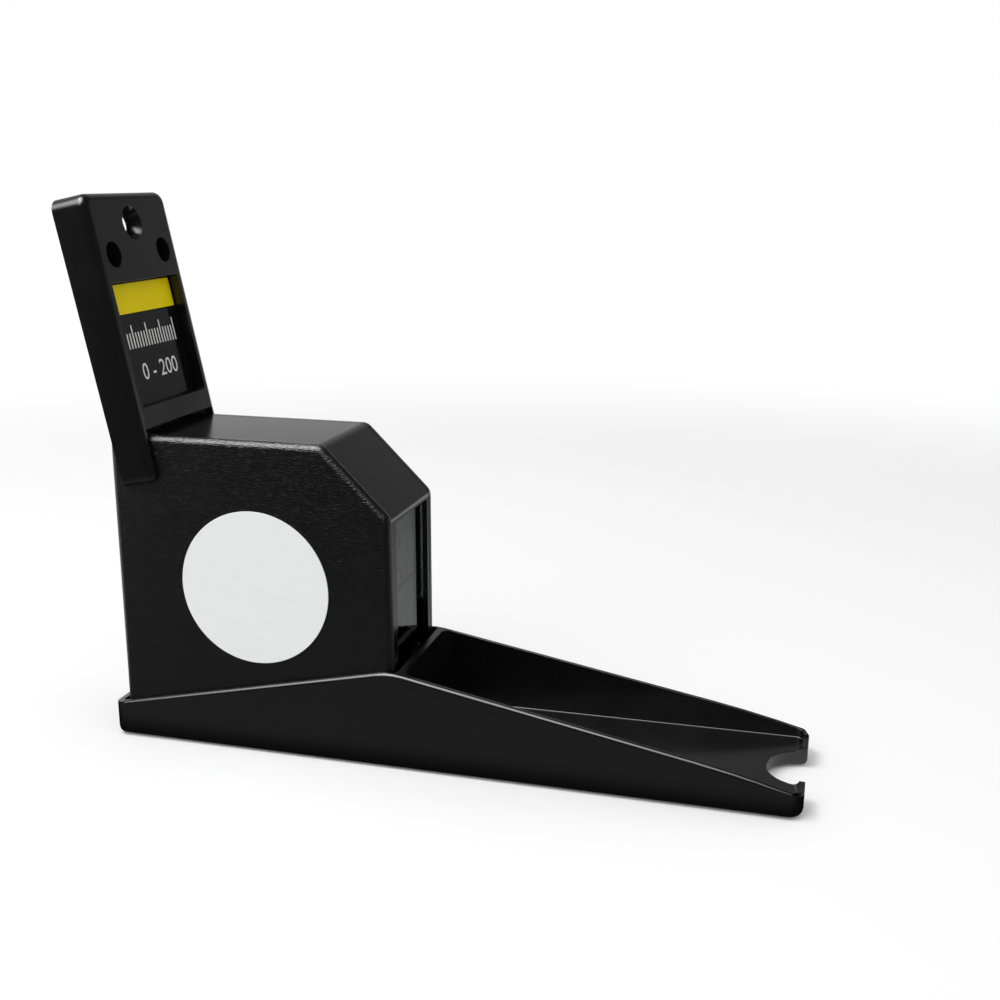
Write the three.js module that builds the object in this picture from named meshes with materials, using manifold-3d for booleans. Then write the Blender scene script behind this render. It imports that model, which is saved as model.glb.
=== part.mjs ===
import * as THREE from 'three';
import { mergeVertices } from 'three/addons/utils/BufferGeometryUtils.js';
import Module from 'manifold-3d';

// A wall-hung stadiometer with a spring-wound steel tape, in millimetres.
// X runs from the rear towards the tip of the foot, and Z is up along the tape.
// Sizes are drawn from the housing's rear face, the foot's underside and mid-width.
// The whole is then moved so that the tape's own line is the Z axis.

// Fits shared by every piece
const seatGap = 0.3;
const runGap = 0.6;
const overrun = 1;

// Housing
const housingLength = 68;
const housingWidth = 30.6;
const housingTop = 74.2;
const housingWall = 1.8;
const housingCorner = 3;
const housingEdge = 1.6;
const innerCorner = 0.8;
const chamfer = 15.8;
const coverDepth = 2.7;
const tongueWall = 1.2;
const tongueReach = 1.2;
const bossRadius = 2.5;
const bossInset = 6.2;
const topBossX = 14;
const topBossDrop = 4.4;

// Window in the housing's front
const windowWidth = 21.8;
const windowBottom = 20;
const windowTopMargin = 1.5;
const windowFrame = 1.2;
const lensThickness = 1.1;
const lensLap = 1;
const lineHeight = 0.4;
const lineThickness = 0.3;

// Round label on the near side
const labelRadius = 18.15;
const labelThickness = 0.6;
const labelX = 35;
const labelZ = 40;

// Reel, tape and power spring
const reelZ = 40;
const tapeWidth = 19;
const tapeThickness = 0.2;
const tapeTravel = 2000;
const tapeReserve = 140;
const tapeX = 3.6;
const coilFrontGap = 1.3;
const flangeLip = 0.8;
const flangeThickness = 1.1;
const drumWall = 1.7;
const drumRibReach = 3.35;
const barrelWall = 1.2;
const drumRibs = 6;
const drumRibWall = 1.2;
const arborRadius = 3;
const arborBossWall = 2.2;
const arborSlot = 0.9;
const drumBossLength = 3;
const springTurns = 8;
const springStrip = 0.35;
const springWidth = 12;

// Foot
const footRearGap = 2.7;
const footReach = 159.8;
const footRearWidth = 33.6;
const footTipWidth = 35.7;
const footFloor = 4;
const footRearWall = 1.6;
const footRearCorner = 2.1;
const footTipCorner = 3.2;
const soleEdge = 2;
const rimRear = 8.2;
const rimPeak = 23.4;
const rimPeakX = 67.4;
const rimPeakBlend = 3.2;
const rimNose = 10.75;
const rimTip = 5.5;
const noseLength = 22.7;
const crossGap = 1;
const crossWall = 1.6;
const trayWall = 1.4;
const trayCorner = 2.4;
const trayFillet = 1.6;
const endLip = 1.2;
const endLipHeight = 1.1;
const notchRadius = 8.9;

// Wall bracket, drawn upright from its wall face and its bottom end
const leanBack = THREE.MathUtils.degToRad(11.75);
const bracketLength = 65.5;
const bracketDepth = 8.5;
const cheekGap = 0.5;
const cheekWall = 1.68;
const cheekDrop = 12.2;
const cheekCorner = 2;
const bracketCorner = 3;
const bracketEdge = 1.8;
const crossbarHeight = 4.7;
const crossbarDepth = 3.4;
const crossbarRoofShare = 1 / 6;
const tieLift = 0.5;
const tieHeight = 3;
const tieDepth = 1.05;
const recessWidth = 29.3;
const recessHeight = 28.5;
const recessCorner = 0.8;
const markDepth = 2.5;
const plateThickness = 0.5;
const recessWall = 1.2;
const faceWall = 2.2;
const topWall = 2;
const backRibWall = 1.2;
const backRibRecess = 0.6;
const stripHeight = 6.8;
const plateMargin = 0.35;
const plateCorner = 0.4;
const plateBottomMargin = 0.65;

// The bracket's pin and the folded loop of the tape on it
const pinRadius = 0.7;
const pinFromWall = 2.5;
const pinFromBottom = 15.4;
const pinSeat = 1.2;
const loopGap = 0.2;
const loopWall = 0.25;
const loopTail = 6.3;

// Screw holes in the bracket
const topHoleHeight = 58.4;
const topHeadRadius = 3.95;
const topHoleRadius = 2.6;
const topHoleCone = 2;
const topBossDepth = 3.4;
const topBossWall = 2;
const lowHoleHeight = 51.6;
const lowHoleSpread = 10.85;
const lowHeadRadius = 2.95;
const lowHoleRadius = 1.7;
const lowHeadDepth = 3;
const lowBossWall = 1.6;

// Screws
const coverScrewRadius = 0.8;
const coverHeadRadius = 1.7;
const coverHeadHeight = 1;
const coverHeadTopShare = 0.7;
const coverScrewLength = 10;
const footScrewRadius = 1.1;
const footHeadRadius = 2.8;
const footHeadRecess = 0.4;
const footScrewLength = 9;
const footScrewInset = 11;
const footBossRadius = 3;
const footBossHeight = 6;

// Smoothness of the facets
const cornerSteps = 3;
const edgeSteps = 4;
const roundSteps = 32;
const reelSteps = 60;
const springSteps = 24;

// Places that follow from the sizes
const halfWidth = housingWidth / 2;
const housingBase = footFloor + seatGap;
const nearInner = -halfWidth + housingWall;
const coverInner = halfWidth - coverDepth;
const shellEdge = coverInner - seatGap;
const windowTop = housingTop - chamfer - windowTopMargin;
const lensFront = housingLength - windowFrame - seatGap;
const lensHalf = windowWidth / 2 + lensLap;
const lineBack = lensFront - lensThickness - lineThickness;
const coilRear = tapeX - tapeThickness / 2;
const roomBetweenWalls = (lineBack - coilFrontGap - coilRear) / 2;
const roomBelowTop = housingTop - housingWall - reelZ - flangeLip - runGap;
const coilRadius = Math.min(roomBetweenWalls, roomBelowTop);
const reelX = coilRear + coilRadius;
const flangeRadius = coilRadius + flangeLip;
const flangeInner = tapeWidth / 2 + seatGap;
const flangeOuter = flangeInner + flangeThickness;
const coilInner = Math.sqrt(coilRadius ** 2 - (tapeTravel + tapeReserve) * tapeThickness / Math.PI);
const hubRadius = coilInner - seatGap;
const barrelRadius = hubRadius - drumWall - drumRibReach;
const arborBossRadius = arborRadius + arborBossWall;
const arborBore = arborRadius + seatGap;
const slotHalf = tapeThickness + runGap;
const crossFront = housingLength + crossGap;
const bracketHalf = halfWidth + cheekGap + cheekWall;
const cheekInner = halfWidth + cheekGap;
const tieBottom = cheekDrop + tieLift;
const recessBottom = cheekDrop + crossbarHeight;
const recessTop = recessBottom + recessHeight;
const recessFloor = bracketDepth - markDepth - plateThickness - seatGap;
const pinRise = seatGap + pinFromWall * Math.sin(leanBack) + (pinFromBottom - tieBottom) * Math.cos(leanBack);
const loopInner = pinRadius + loopGap;
const loopOuter = loopInner + loopWall;

// Materials
const plastic = (color, roughness) => new THREE.MeshStandardMaterial({ color, roughness, metalness: 0 });
const metal = (color, roughness) => new THREE.MeshStandardMaterial({ color, roughness, metalness: 1 });
const blackSatin = plastic('#17181a', 0.35);
const blackGrained = plastic('#141416', 0.55);
const clear = new THREE.MeshStandardMaterial({
  color: '#c9d0d2', roughness: 0.05, metalness: 0, transparent: true, opacity: 0.35,
});
const whiteLabel = plastic('#e8e8e8', 0.4);
const yellowStrip = plastic('#cdbe14', 0.45);
const redLine = plastic('#b3261e', 0.5);
const greyNylon = plastic('#8d9092', 0.5);
const tapeEnamel = plastic('#dcdcd4', 0.35);
const brightSteel = metal('#b9bcbf', 0.3);
const springSteel = metal('#5c6066', 0.35);
const zincSteel = metal('#9fa3a6', 0.4);

// Solids from three.js geometries, joined and cut
const wasm = await Module();
wasm.setup();

function solid(geometry) {
  const bare = geometry.clone();
  bare.deleteAttribute('normal');
  bare.deleteAttribute('uv');
  const merged = mergeVertices(bare);
  return new wasm.Manifold(new wasm.Mesh({
    numProp: 3,
    vertProperties: merged.attributes.position.array,
    triVerts: new Uint32Array(merged.index.array),
  }));
}

function toGeometry(body) {
  const { vertProperties, triVerts } = body.getMesh();
  const geometry = new THREE.BufferGeometry();
  geometry.setAttribute('position', new THREE.BufferAttribute(vertProperties, 3));
  geometry.setIndex(new THREE.BufferAttribute(triVerts, 1));
  geometry.computeVertexNormals();
  return geometry;
}

const join = (...bodies) => bodies.reduce((whole, body) => whole.add(body));
const cut = (body, ...tools) => tools.reduce((left, tool) => left.subtract(tool), body);

function piece(name, shape, material) {
  const mesh = new THREE.Mesh(shape.isBufferGeometry ? shape : toGeometry(shape), material);
  mesh.name = name;
  return mesh;
}

// An outline whose corners [x, y, radius] are rounded by arcs
function filleted(corners) {
  const shape = new THREE.Shape();
  corners.forEach(([x, y, radius], i) => {
    const at = new THREE.Vector2(x, y);
    const before = corners[(i + corners.length - 1) % corners.length];
    const after = corners[(i + 1) % corners.length];
    const toBefore = new THREE.Vector2(before[0], before[1]).sub(at).normalize();
    const toAfter = new THREE.Vector2(after[0], after[1]).sub(at).normalize();
    if (radius === 0) {
      shape.lineTo(x, y);
      return;
    }
    const half = toBefore.angleTo(toAfter) / 2;
    const middle = toBefore.clone().add(toAfter).normalize();
    const centre = at.clone().addScaledVector(middle, radius / Math.sin(half));
    const start = at.clone().addScaledVector(toBefore, radius / Math.tan(half)).sub(centre);
    const end = at.clone().addScaledVector(toAfter, radius / Math.tan(half)).sub(centre);
    const clockwise = toBefore.cross(toAfter) > 0;
    shape.absarc(centre.x, centre.y, radius, start.angle(), end.angle(), clockwise);
  });
  shape.closePath();
  return shape;
}

const rounded = (x0, y0, x1, y1, radius) => filleted([
  [x0, y0, radius], [x1, y0, radius], [x1, y1, radius], [x0, y1, radius],
]);

// An extrusion from z 0 to its depth, with both rims rounded by edge
function prism(shape, depth, edge = 0) {
  const geometry = new THREE.ExtrudeGeometry(shape, {
    depth: depth - 2 * edge,
    bevelEnabled: edge > 0,
    bevelThickness: edge,
    bevelSize: edge,
    bevelOffset: -edge,
    bevelSegments: edgeSteps,
    curveSegments: cornerSteps,
  });
  return geometry.translate(0, 0, edge);
}

// Extrusions of a plan along Z, of a side view along Y and of a front view along X
const planPrism = (shape, from, to, edge) => prism(shape, to - from, edge).translate(0, 0, from);
const sidePrism = (shape, from, to, edge) => prism(shape, to - from, edge)
  .rotateX(Math.PI / 2).translate(0, to, 0);
const frontTurn = new THREE.Matrix4().makeBasis(
  new THREE.Vector3(0, 1, 0), new THREE.Vector3(0, 0, 1), new THREE.Vector3(1, 0, 0),
);
const frontPrism = (shape, from, to, edge) => prism(shape, to - from, edge)
  .applyMatrix4(frontTurn).translate(from, 0, 0);

const block = (x0, x1, y0, y1, z0, z1) => new THREE.BoxGeometry(x1 - x0, y1 - y0, z1 - z0)
  .translate((x0 + x1) / 2, (y0 + y1) / 2, (z0 + z1) / 2);

// Round rods and cones along each axis, from one end to the other
const cone = (startRadius, endRadius, from, to) => new THREE.CylinderGeometry(
  endRadius, startRadius, to - from, roundSteps,
).translate(0, (from + to) / 2, 0);
const rodY = (x, z, radius, from, to) => cone(radius, radius, from, to).translate(x, 0, z);
const coneX = (y, z, startRadius, endRadius, from, to) => cone(startRadius, endRadius, from, to)
  .rotateZ(-Math.PI / 2).translate(0, y, z);
const rodX = (y, z, radius, from, to) => coneX(y, z, radius, radius, from, to);
const rodZ = (x, y, radius, from, to) => cone(radius, radius, from, to)
  .rotateX(Math.PI / 2).translate(x, y, 0);

// A body turned about the Y axis from [radius, y] points; the outline closes on itself
function turned(points, steps) {
  const outline = points.map(([radius, y]) => new THREE.Vector2(radius, y));
  if (points[0][0] > 0) {
    outline.push(outline[0].clone());
  }
  const lathe = new THREE.LatheGeometry(outline, steps);
  const body = solid(lathe);
  return body.volume() > 0 ? body : solid(flipped(lathe));
}

// The same surface with its faces pointing the other way
function flipped(geometry) {
  const turnedOver = geometry.clone();
  const index = turnedOver.index.array;
  for (let i = 0; i < index.length; i += 3) {
    [index[i], index[i + 1]] = [index[i + 1], index[i]];
  }
  return turnedOver;
}

// The housing's side view, drawn in by an inset
function housingOutline(inset) {
  const radius = Math.max(housingCorner - inset, innerCorner);
  const leg = chamfer - inset * (2 - Math.SQRT2);
  const front = housingLength - inset;
  const top = housingTop - inset;
  return filleted([
    [inset, housingBase + inset, radius],
    [front, housingBase + inset, radius],
    [front, top - leg, radius],
    [front - leg, top, radius],
    [inset, top, radius],
  ]);
}

const housingBlank = () => solid(sidePrism(housingOutline(0), -halfWidth, halfWidth, housingEdge));

// Where the four cover screws go: the two lower corners, the rear of the top and behind the chamfer
const chamferBossReach = (flangeRadius + bossRadius + seatGap) * Math.SQRT1_2;
const coverScrewPlaces = [
  [bossInset, housingBase + bossInset],
  [housingLength - bossInset, housingBase + bossInset],
  [reelX + chamferBossReach, reelZ + chamferBossReach],
  [topBossX, housingTop - topBossDrop],
];
const footScrewPlaces = [footScrewInset, housingLength - footScrewInset];

function housingShell() {
  const wallMiddle = -halfWidth + housingWall / 2;
  const cavity = sidePrism(housingOutline(housingWall), nearInner, halfWidth + overrun);
  const beyondSeam = block(
    -overrun, housingLength + overrun, shellEdge, halfWidth + overrun, 0, housingTop + overrun,
  );
  const opening = frontPrism(
    rounded(-windowWidth / 2, windowBottom, windowWidth / 2, windowTop, innerCorner),
    lensFront - overrun, housingLength + overrun,
  );
  const lensPocket = block(
    housingLength - housingWall - overrun, housingLength - windowFrame,
    -lensHalf - seatGap, shellEdge + overrun,
    windowBottom - lensLap - seatGap, windowTop + lensLap + seatGap,
  );
  const slotReach = tapeWidth / 2 + runGap;
  const slot = planPrism(
    rounded(tapeX - slotHalf, -slotReach, tapeX + slotHalf, slotReach, slotHalf / 2),
    housingTop - housingWall - overrun, housingTop + overrun,
  );
  const hollow = cut(housingBlank(), solid(beyondSeam), solid(cavity));
  const bosses = coverScrewPlaces.map(([x, z]) => solid(rodY(x, z, bossRadius, wallMiddle, shellEdge)));
  const screwHoles = coverScrewPlaces.map(([x, z]) => solid(
    rodY(x, z, coverScrewRadius + seatGap, shellEdge - coverScrewLength, shellEdge + overrun),
  ));
  const arborBossEnd = -flangeOuter - seatGap - runGap;
  const arborBoss = solid(rodY(reelX, reelZ, arborBossRadius, wallMiddle, arborBossEnd));
  const arborSocket = solid(rodY(reelX, reelZ, arborBore, nearInner, arborBossEnd + overrun));
  const footBosses = footScrewPlaces.map((x) => solid(
    rodZ(x, 0, footBossRadius, housingBase + housingWall / 2, housingBase + footBossHeight),
  ));
  const footHoles = footScrewPlaces.map((x) => solid(
    rodZ(x, 0, footScrewRadius + seatGap, housingBase - overrun, footScrewLength + seatGap),
  ));
  return cut(
    join(hollow, ...bosses, arborBoss, ...footBosses),
    arborSocket, ...screwHoles, ...footHoles,
    solid(opening), solid(lensPocket), solid(slot),
  );
}

function sideCover() {
  const nearer = block(
    -overrun, housingLength + overrun, -halfWidth - overrun, coverInner, 0, housingTop + overrun,
  );
  const plate = cut(housingBlank(), solid(nearer));
  const lip = housingWall + seatGap;
  const tongueEnd = coverInner - tongueReach;
  const bottomTongue = block(
    2 * bossInset, housingLength - 2 * bossInset, tongueEnd, coverInner + overrun,
    housingBase + lip, housingBase + lip + tongueWall,
  );
  const topTongue = block(
    topBossX + 2 * bossRadius, housingLength - chamfer - 2 * bossRadius, tongueEnd, coverInner + overrun,
    housingTop - lip - tongueWall, housingTop - lip,
  );
  const rearTongue = block(
    lip, lip + tongueWall, tongueEnd, coverInner + overrun,
    housingBase + 2 * bossInset, housingTop - 2 * bossInset,
  );
  const arborBoss = rodY(reelX, reelZ, arborBossRadius, flangeOuter + seatGap + runGap, coverInner + overrun);
  const arborSocket = rodY(reelX, reelZ, arborBore, 0, coverInner);
  const headFloor = halfWidth - seatGap - coverHeadHeight - seatGap;
  const screwHoles = coverScrewPlaces.flatMap(([x, z]) => [
    solid(rodY(x, z, coverScrewRadius + seatGap, 0, halfWidth + overrun)),
    solid(rodY(x, z, coverHeadRadius + seatGap, headFloor, halfWidth + overrun)),
  ]);
  return cut(
    join(plate, solid(bottomTongue), solid(topTongue), solid(rearTongue), solid(arborBoss)),
    solid(arborSocket), ...screwHoles,
  );
}

// Pan-head screw along Y with its head outwards, and countersunk screw along Z with its head below
function coverScrew() {
  const headTop = halfWidth - seatGap;
  const headBase = headTop - coverHeadHeight;
  return turned([
    [0, shellEdge - coverScrewLength + seatGap],
    [coverScrewRadius, shellEdge - coverScrewLength + seatGap + coverScrewRadius],
    [coverScrewRadius, headBase],
    [coverHeadRadius, headBase],
    [coverHeadRadius, headTop - coverHeadHeight / 2],
    [coverHeadRadius * coverHeadTopShare, headTop],
    [0, headTop],
  ], roundSteps / 2);
}

function footScrew() {
  const coneTop = footHeadRecess + footHeadRadius - footScrewRadius;
  return turned([
    [0, footHeadRecess],
    [footHeadRadius, footHeadRecess],
    [footScrewRadius, coneTop],
    [footScrewRadius, footScrewLength - footScrewRadius],
    [0, footScrewLength],
  ], roundSteps / 2).rotate([90, 0, 0]).mirror([0, 1, 0]);
}

// Foot: outer plan with a rounded sole, its rim line cut in side view
function footPlan(inset, from, to, rearCorner, tipCorner) {
  const rearHalf = footRearWidth / 2 - inset;
  const flare = (footTipWidth - footRearWidth) / 2 / (footReach - crossFront);
  const tipHalf = rearHalf + flare * (to - crossFront);
  const kink = Math.max(from, crossFront);
  const startHalf = rearHalf + flare * (kink - crossFront);
  const kinks = kink > from ? [[kink, startHalf, 0]] : [];
  return filleted([
    [from, -startHalf, rearCorner],
    ...kinks.map(([x, y]) => [x, -y, 0]),
    [to, -tipHalf, tipCorner],
    [to, tipHalf, tipCorner],
    ...kinks,
    [from, startHalf, rearCorner],
  ]);
}

function footProfile() {
  const rise = (rimPeak - rimRear) / (rimPeakX + footRearGap);
  const noseX = footReach - noseLength;
  const fall = (rimPeak - rimNose) / (noseX - rimPeakX);
  const rear = -footRearGap - overrun;
  const shape = new THREE.Shape();
  shape.moveTo(rear, -overrun);
  shape.lineTo(footReach + overrun, -overrun);
  shape.lineTo(footReach + overrun, rimTip);
  shape.lineTo(footReach, rimTip);
  shape.quadraticCurveTo(noseX + noseLength / 2, rimNose - fall * noseLength / 2, noseX, rimNose);
  shape.lineTo(rimPeakX + rimPeakBlend, rimPeak - fall * rimPeakBlend);
  shape.quadraticCurveTo(rimPeakX, rimPeak, rimPeakX - rimPeakBlend, rimPeak - rise * rimPeakBlend);
  shape.lineTo(-footRearGap, rimRear);
  shape.lineTo(rear, rimRear);
  shape.closePath();
  return shape;
}

function foot() {
  const above = rimPeak + soleEdge + overrun;
  const outer = planPrism(
    footPlan(0, -footRearGap, footReach, footRearCorner, footTipCorner), 0, above, soleEdge,
  );
  const profile = sidePrism(footProfile(), -footTipWidth, footTipWidth);
  const pocketHalf = halfWidth + seatGap;
  const pocket = planPrism(
    rounded(-footRearGap + footRearWall, -pocketHalf, crossFront, pocketHalf, innerCorner), footFloor, above,
  );
  const trayFrom = crossFront + crossWall;
  const trayTo = footReach - endLip;
  const tray = planPrism(
    footPlan(trayWall, trayFrom, trayTo, trayCorner, footTipCorner - trayWall),
    footFloor, above, trayFillet,
  );
  const lipHalf = footTipWidth / 2 - footTipCorner;
  const lipCut = planPrism(
    rounded(trayTo - notchRadius, -lipHalf, footReach + overrun, lipHalf, innerCorner),
    footFloor + endLipHeight, above,
  );
  // The notch's lower edge is rounded as the sole's edge is
  const flare = Array.from({ length: edgeSteps + 1 }, (_, i) => {
    const turn = i / edgeSteps * Math.PI / 2;
    return [notchRadius + soleEdge * (1 - Math.sin(turn)), soleEdge * (1 - Math.cos(turn))];
  });
  const notch = turned([
    [0, -overrun], [notchRadius + soleEdge, -overrun], ...flare, [notchRadius, above], [0, above],
  ], roundSteps).rotate([90, 0, 0]).translate([footReach, 0, 0]);
  const headSink = footHeadRecess + footHeadRadius - footScrewRadius;
  const screwHoles = footScrewPlaces.flatMap((x) => [
    solid(rodZ(x, 0, footScrewRadius + seatGap, -overrun, footFloor + overrun)),
    solid(cone(footHeadRadius + seatGap, footScrewRadius + seatGap, footHeadRecess, headSink)
      .rotateX(Math.PI / 2).translate(x, 0, 0)),
    solid(rodZ(x, 0, footHeadRadius + seatGap, -overrun, footHeadRecess)),
  ]);
  return cut(
    solid(outer).intersect(solid(profile)),
    solid(pocket), solid(tray), solid(lipCut), notch, ...screwHoles,
  );
}

// Reel pieces, turned about the arbor's axis
function reelDrum() {
  const web = flangeInner - runGap;
  const bossIn = web - drumBossLength;
  const bossOut = flangeOuter + runGap;
  const barrelInner = barrelRadius - barrelWall;
  const hubInner = hubRadius - drumWall;
  const rim = -flangeInner;
  const drum = turned([
    [arborBore, bossIn], [arborBossRadius, bossIn], [arborBossRadius, web],
    [barrelInner, web], [barrelInner, rim + runGap], [barrelRadius, rim + runGap],
    [barrelRadius, web], [hubInner, web], [hubInner, rim], [hubRadius, rim],
    [hubRadius, flangeInner], [flangeRadius, flangeInner], [flangeRadius, flangeOuter],
    [arborBossRadius, flangeOuter], [arborBossRadius, bossOut], [arborBore, bossOut],
  ], reelSteps);
  const ribs = Array.from({ length: drumRibs }, (_, i) => solid(
    block(barrelRadius - barrelWall / 2, hubRadius - drumWall / 2, rim + runGap, web + runGap / 2,
      -drumRibWall / 2, drumRibWall / 2).rotateY(i * 2 * Math.PI / drumRibs),
  ));
  return join(drum, ...ribs);
}

function reelFlange() {
  const inner = -flangeInner - seatGap;
  const outer = inner - flangeThickness;
  const bossIn = inner + drumBossLength;
  return turned([
    [arborBore, bossIn], [arborBossRadius, bossIn], [arborBossRadius, inner], [flangeRadius, inner],
    [flangeRadius, outer], [arborBossRadius, outer], [arborBore, outer],
  ], reelSteps);
}

const tapeCoil = () => turned([
  [coilInner, -tapeWidth / 2], [coilRadius, -tapeWidth / 2],
  [coilRadius, tapeWidth / 2], [coilInner, tapeWidth / 2],
], reelSteps);

function reelArbor() {
  const end = -nearInner - seatGap;
  const bevel = seatGap;
  const farEnd = coverInner - seatGap;
  const rod = turned([
    [0, -end], [arborRadius - bevel, -end], [arborRadius, -end + bevel],
    [arborRadius, farEnd - bevel], [arborRadius - bevel, farEnd], [0, farEnd],
  ], roundSteps);
  const slot = block(
    -arborSlot / 2, arborSlot / 2, -springWidth / 2, springWidth / 2, -arborRadius - overrun, arborRadius / 2,
  );
  return cut(rod, solid(slot));
}

// Clock spring: one strip wound from the arbor out to the barrel, with even gaps between its turns
function powerSpring() {
  const inner = arborRadius + seatGap;
  const outer = barrelRadius - barrelWall - seatGap - springStrip;
  const count = springTurns * springSteps;
  const side = (offset) => Array.from({ length: count + 1 }, (_, i) => {
    const radius = inner + (outer - inner) * i / count + offset;
    const angle = 2 * Math.PI * i / springSteps;
    return new THREE.Vector2(radius * Math.cos(angle), radius * Math.sin(angle));
  });
  const strip = new THREE.Shape([...side(0), ...side(springStrip).reverse()]);
  const gap = (outer - inner) / springTurns - springStrip;
  console.log(`power spring: ${springTurns} turns, gap between turns ${gap.toFixed(2)} mm`);
  return sidePrism(strip, -springWidth / 2, springWidth / 2);
}

// Wall bracket: a moulded shell that is open at the wall, with a sunk front panel
function bracketShell() {
  const outline = filleted([
    [-bracketHalf, 0, cheekCorner], [bracketHalf, 0, cheekCorner],
    [bracketHalf, bracketLength, bracketCorner], [-bracketHalf, bracketLength, bracketCorner],
  ]);
  const blank = frontPrism(outline, -bracketEdge - overrun, bracketDepth, bracketEdge);
  const front = bracketDepth + overrun;
  const panelBack = recessFloor - recessWall;
  const topHollowFrom = recessTop + recessWall;
  const crossbarBack = bracketDepth - crossbarDepth;
  const wide = [-cheekInner, cheekInner];
  const behindWall = block(
    -bracketEdge - 2 * overrun, 0, -bracketHalf - overrun, bracketHalf + overrun,
    -overrun, bracketLength + overrun,
  );
  const belowCrossbar = block(-overrun, front, ...wide, -overrun, cheekDrop);
  const belowTie = block(-overrun, crossbarBack, ...wide, 0, tieBottom);
  const tapeWay = block(
    tieDepth, crossbarBack, ...wide, 0, recessBottom - crossbarHeight * crossbarRoofShare,
  );
  const aboveTie = block(-overrun, panelBack, ...wide, tieBottom + tieHeight, topHollowFrom - recessWall);
  const topHollow = frontPrism(
    rounded(-cheekInner, topHollowFrom, cheekInner, bracketLength - topWall, innerCorner),
    -overrun, bracketDepth - faceWall,
  );
  const recess = frontPrism(
    rounded(-recessWidth / 2, recessBottom, recessWidth / 2, recessTop, recessCorner), recessFloor, front,
  );
  const shell = cut(
    solid(blank), solid(behindWall), solid(belowCrossbar), solid(belowTie), solid(tapeWay),
    solid(aboveTie), solid(topHollow), solid(recess),
  );

  const faceBack = bracketDepth - faceWall + overrun / 2;
  const topBoss = rodX(0, topHoleHeight, topHeadRadius + topBossWall, bracketDepth - topBossDepth, faceBack);
  const lowBosses = [-lowHoleSpread, lowHoleSpread].map((y) => solid(
    rodX(y, lowHoleHeight, lowHeadRadius + lowBossWall, 0, faceBack),
  ));
  const ribMiddle = recessBottom + recessHeight / 2;
  const ribReach = cheekInner + cheekWall / 2;
  const ribHalf = backRibWall / 2;
  const ribFront = panelBack + recessWall / 2;
  const crossRib = block(
    backRibRecess, ribFront, -ribReach, ribReach, ribMiddle - ribHalf, ribMiddle + ribHalf,
  );
  const spine = block(backRibRecess, ribFront, -ribHalf, ribHalf, ribMiddle, topHollowFrom);
  const upperSpine = block(
    backRibRecess, faceBack, -ribHalf, ribHalf,
    topHollowFrom - recessWall / 2, topHoleHeight - topHeadRadius,
  );

  const topHoles = [
    rodX(0, topHoleHeight, topHoleRadius, -overrun, front),
    coneX(0, topHoleHeight, topHoleRadius, topHeadRadius, bracketDepth - topHoleCone, bracketDepth),
    rodX(0, topHoleHeight, topHeadRadius, bracketDepth, front),
  ];
  const lowHoles = [-lowHoleSpread, lowHoleSpread].flatMap((y) => [
    rodX(y, lowHoleHeight, lowHoleRadius, -overrun, front),
    rodX(y, lowHoleHeight, lowHeadRadius, bracketDepth - lowHeadDepth, front),
  ]);
  const pinHole = rodY(
    pinFromWall, pinFromBottom, pinRadius + seatGap, -cheekInner - pinSeat, cheekInner + pinSeat,
  );
  return cut(
    join(shell, solid(topBoss), ...lowBosses, solid(crossRib), solid(spine), solid(upperSpine)),
    ...topHoles.map(solid), ...lowHoles.map(solid), solid(pinHole),
  );
}

const plateHalf = recessWidth / 2 - plateMargin;
const stripTop = recessTop - plateMargin;
const stripBottom = stripTop - stripHeight;
const plateBack = recessFloor + seatGap;

const markingPlate = () => frontPrism(
  rounded(-plateHalf, recessBottom + plateBottomMargin, plateHalf, stripBottom - seatGap, plateCorner),
  plateBack, plateBack + plateThickness,
);

const levelStrip = () => frontPrism(
  rounded(-plateHalf + plateMargin, stripBottom, plateHalf - plateMargin, stripTop, plateCorner),
  plateBack, plateBack + plateThickness,
);

const pinReach = cheekInner + pinSeat - seatGap;
const loopPin = () => cone(pinRadius, pinRadius, -pinReach, pinReach);

// The tape's end, folded round the pin and welded to itself below it
function tapeEndLoop() {
  const tailAngle = Math.asin(tapeThickness / loopOuter);
  const shape = new THREE.Shape();
  shape.moveTo(tapeThickness, -loopTail - loopOuter);
  shape.absarc(0, 0, loopOuter, tailAngle - Math.PI / 2, 1.5 * Math.PI - tailAngle, false);
  shape.lineTo(-tapeThickness, -loopTail - loopOuter);
  shape.closePath();
  const eye = new THREE.Path();
  eye.absarc(0, 0, loopInner, 0, 2 * Math.PI, true);
  shape.holes.push(eye);
  return prism(shape, tapeWidth, 0).rotateX(Math.PI / 2).translate(0, tapeWidth / 2, 0);
}

// Everything below hangs from the pin's centre, where the tape's line meets the bracket
const pinHeight = housingTop + pinRise;
const tapeRunTop = -loopOuter - loopTail - seatGap;
const coilClearance = Math.sqrt(2 * coilRadius * (tapeThickness + seatGap));

const tapeStretch = () => block(
  -tapeThickness / 2, tapeThickness / 2, -tapeWidth / 2, tapeWidth / 2,
  reelZ + coilClearance - pinHeight, tapeRunTop,
);

// Assembly
const stadiometer = new THREE.Group();
const headUnit = new THREE.Group();
const reel = new THREE.Group();
const tapeRun = new THREE.Group();
const bracketTilt = new THREE.Group();
const bracket = new THREE.Group();
stadiometer.add(headUnit, reel, tapeRun);
tapeRun.add(bracketTilt);
bracketTilt.add(bracket);
stadiometer.position.x = -tapeX;
reel.position.set(reelX, 0, reelZ);
tapeRun.position.set(tapeX, 0, pinHeight);
bracketTilt.rotation.y = -leanBack;
bracket.position.set(-pinFromWall, 0, -pinFromBottom);

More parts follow.
